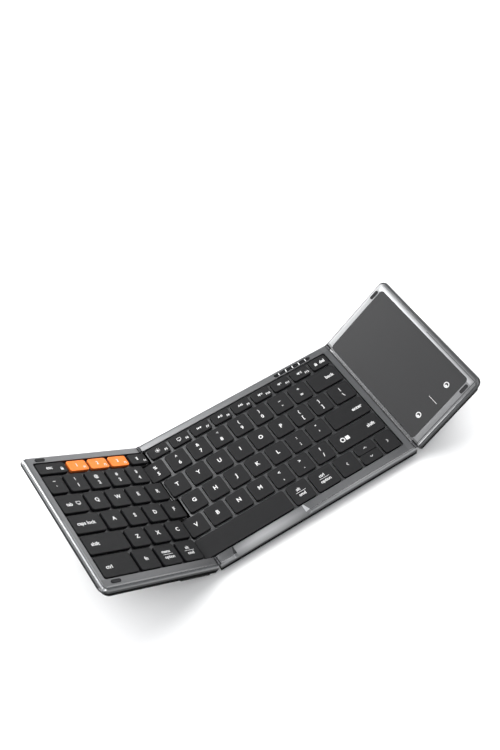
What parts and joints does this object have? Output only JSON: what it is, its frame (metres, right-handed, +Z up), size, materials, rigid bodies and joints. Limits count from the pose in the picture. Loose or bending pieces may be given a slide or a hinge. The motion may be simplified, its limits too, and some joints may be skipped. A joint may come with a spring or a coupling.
{
  "type": "folding keyboard",
  "caption": "Tri-fold wireless keyboard with a touchpad wing, standing open with both wings raised; keys, touchpad, power switch and both wings move.",
  "frame": {"origin": "centre of the standing keyboard's outline, on the table its feet stand on", "axes": "+X to the touchpad side, +Y to the function row, +Z up"},
  "size_m": [0.3195, 0.1218, 0.0685],
  "materials": {
    "satin_aluminium": "satin",
    "black_cover": "matte",
    "grey_keys": "matte",
    "orange_keys": "matte",
    "grey_touchpad": "fine grain",
    "black_rubber": "matte",
    "dome_rubber": "matte",
    "steel": "plain",
    "board": "satin",
    "cable_film": "satin",
    "battery_foil": "satin",
    "black_window": "glossy"
  },
  "bodies": {
    "middle_panel": {"middle_top_case": "satin_aluminium", "middle_bottom_cover": "black_cover", "middle_key_plate": "steel", "middle_dome_sheet": "dome_rubber", "middle_feet": "black_rubber", "middle_screws": "steel", "main_board": "board", "charging_socket": "steel", "indicator_window": "black_window", "middle_hinge_leaves": "steel", "hinge_pins": "steel", "flex_cables": "cable_film"},
    "left_wing": {"left_top_case": "satin_aluminium", "left_bottom_cover": "black_cover", "left_key_plate": "steel", "left_dome_sheet": "dome_rubber", "left_feet": "black_rubber", "left_bumpers": "black_rubber", "left_screws": "steel", "left_hinge_leaves": "steel"},
    "right_wing": {"right_top_case": "satin_aluminium", "right_bottom_cover": "black_cover", "right_feet": "black_rubber", "right_bumpers": "black_rubber", "right_screws": "steel", "right_hinge_leaves": "steel", "battery": "battery_foil"},
    "touchpad_plate": {"touchpad": "grey_touchpad", "touchpad_board": "board"},
    "power_switch": {"power_switch_knob": "black_cover"},
    "key_escape_cap": {"key_escape": "grey_keys"},
    "keys_f1_to_f3_caps": {"keys_f1_to_f3": "orange_keys"},
    "key_f4_cap": {"key_f4": "grey_keys"},
    "keys_grave_to_4_caps": {"keys_grave_to_4": "grey_keys"},
    "key_tab_cap": {"key_tab": "grey_keys"},
    "keys_q_to_r_caps": {"keys_q_to_r": "grey_keys"},
    "key_caps_lock_cap": {"key_caps_lock": "grey_keys"},
    "keys_a_to_f_caps": {"keys_a_to_f": "grey_keys"},
    "key_left_shift_cap": {"key_left_shift": "grey_keys"},
    "keys_z_to_c_caps": {"keys_z_to_c": "grey_keys"},
    "key_left_control_cap": {"key_left_control": "grey_keys"},
    "key_function_cap": {"key_function": "grey_keys"},
    "key_left_option_cap": {"key_left_option": "grey_keys"},
    "key_left_alt_cap": {"key_left_alt": "grey_keys"},
    "keys_f5_to_f12_caps": {"keys_f5_to_f12": "grey_keys"},
    "key_delete_cap": {"key_delete": "grey_keys"},
    "keys_5_to_equals_caps": {"keys_5_to_equals": "grey_keys"},
    "key_backspace_cap": {"key_backspace": "grey_keys"},
    "keys_t_to_backslash_caps": {"keys_t_to_backslash": "grey_keys"},
    "keys_g_to_quote_caps": {"keys_g_to_quote": "grey_keys"},
    "key_enter_cap": {"key_enter": "grey_keys"},
    "keys_v_to_slash_caps": {"keys_v_to_slash": "grey_keys"},
    "key_right_shift_cap": {"key_right_shift": "grey_keys"},
    "key_space_cap": {"key_space": "grey_keys"},
    "key_right_alt_cap": {"key_right_alt": "grey_keys"},
    "key_right_control_cap": {"key_right_control": "grey_keys"},
    "key_arrow_left_cap": {"key_arrow_left": "grey_keys"},
    "key_arrow_up_cap": {"key_arrow_up": "grey_keys"},
    "key_arrow_down_cap": {"key_arrow_down": "grey_keys"},
    "key_arrow_right_cap": {"key_arrow_right": "grey_keys"}
  },
  "joints": [
    {"name": "fold_left_wing", "type": "hinge", "parent": "middle_panel", "child": "left_wing", "pos_m": [-0.07194, -0.00038, 0.00925], "axis": [0, 1, 0], "range_deg": [-35.25, 144.75]},
    {"name": "fold_right_wing", "type": "hinge", "parent": "middle_panel", "child": "right_wing", "pos_m": [0.10406, -0.00038, 0.00925], "axis": [0, -1, 0], "range_deg": [-40.5, 139.5]},
    {"name": "key_press_escape", "type": "slide", "parent": "left_wing", "child": "key_escape_cap", "axis": [-0.5771, 0, -0.8166], "range_m": [0, 0.0015], "stiffness_N_per_m": 100, "springref_m": -0.004},
    {"name": "keys_press_f1_to_f3", "type": "slide", "parent": "left_wing", "child": "keys_f1_to_f3_caps", "axis": [-0.5771, 0, -0.8166], "range_m": [0, 0.0015], "stiffness_N_per_m": 100, "springref_m": -0.004},
    {"name": "key_press_f4", "type": "slide", "parent": "left_wing", "child": "key_f4_cap", "axis": [-0.5771, 0, -0.8166], "range_m": [0, 0.0015], "stiffness_N_per_m": 100, "springref_m": -0.004},
    {"name": "keys_press_grave_to_4", "type": "slide", "parent": "left_wing", "child": "keys_grave_to_4_caps", "axis": [-0.5771, 0, -0.8166], "range_m": [0, 0.0015], "stiffness_N_per_m": 100, "springref_m": -0.004},
    {"name": "key_press_tab", "type": "slide", "parent": "left_wing", "child": "key_tab_cap", "axis": [-0.5771, 0, -0.8166], "range_m": [0, 0.0015], "stiffness_N_per_m": 100, "springref_m": -0.004},
    {"name": "keys_press_q_to_r", "type": "slide", "parent": "left_wing", "child": "keys_q_to_r_caps", "axis": [-0.5771, 0, -0.8166], "range_m": [0, 0.0015], "stiffness_N_per_m": 100, "springref_m": -0.004},
    {"name": "key_press_caps_lock", "type": "slide", "parent": "left_wing", "child": "key_caps_lock_cap", "axis": [-0.5771, 0, -0.8166], "range_m": [0, 0.0015], "stiffness_N_per_m": 100, "springref_m": -0.004},
    {"name": "keys_press_a_to_f", "type": "slide", "parent": "left_wing", "child": "keys_a_to_f_caps", "axis": [-0.5771, 0, -0.8166], "range_m": [0, 0.0015], "stiffness_N_per_m": 100, "springref_m": -0.004},
    {"name": "key_press_left_shift", "type": "slide", "parent": "left_wing", "child": "key_left_shift_cap", "axis": [-0.5771, 0, -0.8166], "range_m": [0, 0.0015], "stiffness_N_per_m": 100, "springref_m": -0.004},
    {"name": "keys_press_z_to_c", "type": "slide", "parent": "left_wing", "child": "keys_z_to_c_caps", "axis": [-0.5771, 0, -0.8166], "range_m": [0, 0.0015], "stiffness_N_per_m": 100, "springref_m": -0.004},
    {"name": "key_press_left_control", "type": "slide", "parent": "left_wing", "child": "key_left_control_cap", "axis": [-0.5771, 0, -0.8166], "range_m": [0, 0.0015], "stiffness_N_per_m": 100, "springref_m": -0.004},
    {"name": "key_press_function", "type": "slide", "parent": "left_wing", "child": "key_function_cap", "axis": [-0.5771, 0, -0.8166], "range_m": [0, 0.0015], "stiffness_N_per_m": 100, "springref_m": -0.004},
    {"name": "key_press_left_option", "type": "slide", "parent": "left_wing", "child": "key_left_option_cap", "axis": [-0.5771, 0, -0.8166], "range_m": [0, 0.0015], "stiffness_N_per_m": 100, "springref_m": -0.004},
    {"name": "key_press_left_alt", "type": "slide", "parent": "left_wing", "child": "key_left_alt_cap", "axis": [-0.5771, 0, -0.8166], "range_m": [0, 0.0015], "stiffness_N_per_m": 100, "springref_m": -0.004},
    {"name": "keys_press_f5_to_f12", "type": "slide", "parent": "middle_panel", "child": "keys_f5_to_f12_caps", "axis": [0, 0, -1], "range_m": [0, 0.0015], "stiffness_N_per_m": 100, "springref_m": -0.004},
    {"name": "key_press_delete", "type": "slide", "parent": "middle_panel", "child": "key_delete_cap", "axis": [0, 0, -1], "range_m": [0, 0.0015], "stiffness_N_per_m": 100, "springref_m": -0.004},
    {"name": "keys_press_5_to_equals", "type": "slide", "parent": "middle_panel", "child": "keys_5_to_equals_caps", "axis": [0, 0, -1], "range_m": [0, 0.0015], "stiffness_N_per_m": 100, "springref_m": -0.004},
    {"name": "key_press_backspace", "type": "slide", "parent": "middle_panel", "child": "key_backspace_cap", "axis": [0, 0, -1], "range_m": [0, 0.0015], "stiffness_N_per_m": 100, "springref_m": -0.004},
    {"name": "keys_press_t_to_backslash", "type": "slide", "parent": "middle_panel", "child": "keys_t_to_backslash_caps", "axis": [0, 0, -1], "range_m": [0, 0.0015], "stiffness_N_per_m": 100, "springref_m": -0.004},
    {"name": "keys_press_g_to_quote", "type": "slide", "parent": "middle_panel", "child": "keys_g_to_quote_caps", "axis": [0, 0, -1], "range_m": [0, 0.0015], "stiffness_N_per_m": 100, "springref_m": -0.004},
    {"name": "key_press_enter", "type": "slide", "parent": "middle_panel", "child": "key_enter_cap", "axis": [0, 0, -1], "range_m": [0, 0.0015], "stiffness_N_per_m": 100, "springref_m": -0.004},
    {"name": "keys_press_v_to_slash", "type": "slide", "parent": "middle_panel", "child": "keys_v_to_slash_caps", "axis": [0, 0, -1], "range_m": [0, 0.0015], "stiffness_N_per_m": 100, "springref_m": -0.004},
    {"name": "key_press_right_shift", "type": "slide", "parent": "middle_panel", "child": "key_right_shift_cap", "axis": [0, 0, -1], "range_m": [0, 0.0015], "stiffness_N_per_m": 100, "springref_m": -0.004},
    {"name": "key_press_space", "type": "slide", "parent": "middle_panel", "child": "key_space_cap", "axis": [0, 0, -1], "range_m": [0, 0.0015], "stiffness_N_per_m": 100, "springref_m": -0.004},
    {"name": "key_press_right_alt", "type": "slide", "parent": "middle_panel", "child": "key_right_alt_cap", "axis": [0, 0, -1], "range_m": [0, 0.0015], "stiffness_N_per_m": 100, "springref_m": -0.004},
    {"name": "key_press_right_control", "type": "slide", "parent": "middle_panel", "child": "key_right_control_cap", "axis": [0, 0, -1], "range_m": [0, 0.0015], "stiffness_N_per_m": 100, "springref_m": -0.004},
    {"name": "key_press_arrow_left", "type": "slide", "parent": "middle_panel", "child": "key_arrow_left_cap", "axis": [0, 0, -1], "range_m": [0, 0.0015], "stiffness_N_per_m": 100, "springref_m": -0.004},
    {"name": "key_press_arrow_up", "type": "slide", "parent": "middle_panel", "child": "key_arrow_up_cap", "axis": [0, 0, -1], "range_m": [0, 0.0015], "stiffness_N_per_m": 100, "springref_m": -0.004},
    {"name": "key_press_arrow_down", "type": "slide", "parent": "middle_panel", "child": "key_arrow_down_cap", "axis": [0, 0, -1], "range_m": [0, 0.0015], "stiffness_N_per_m": 100, "springref_m": -0.004},
    {"name": "key_press_arrow_right", "type": "slide", "parent": "middle_panel", "child": "key_arrow_right_cap", "axis": [0, 0, -1], "range_m": [0, 0.0015], "stiffness_N_per_m": 100, "springref_m": -0.004},
    {"name": "touchpad_click", "type": "hinge", "parent": "right_wing", "child": "touchpad_plate", "pos_m": [0.13052, 0.05228, 0.02901], "axis": [0.7604, 0, 0.6494], "range_deg": [0, 0.21], "stiffness_Nm_per_rad": 10, "springref_deg": -0.34},
    {"name": "power_switch_slide", "type": "slide", "parent": "middle_panel", "child": "power_switch", "axis": [1, 0, 0], "range_m": [0, 0.003]}
  ]
}
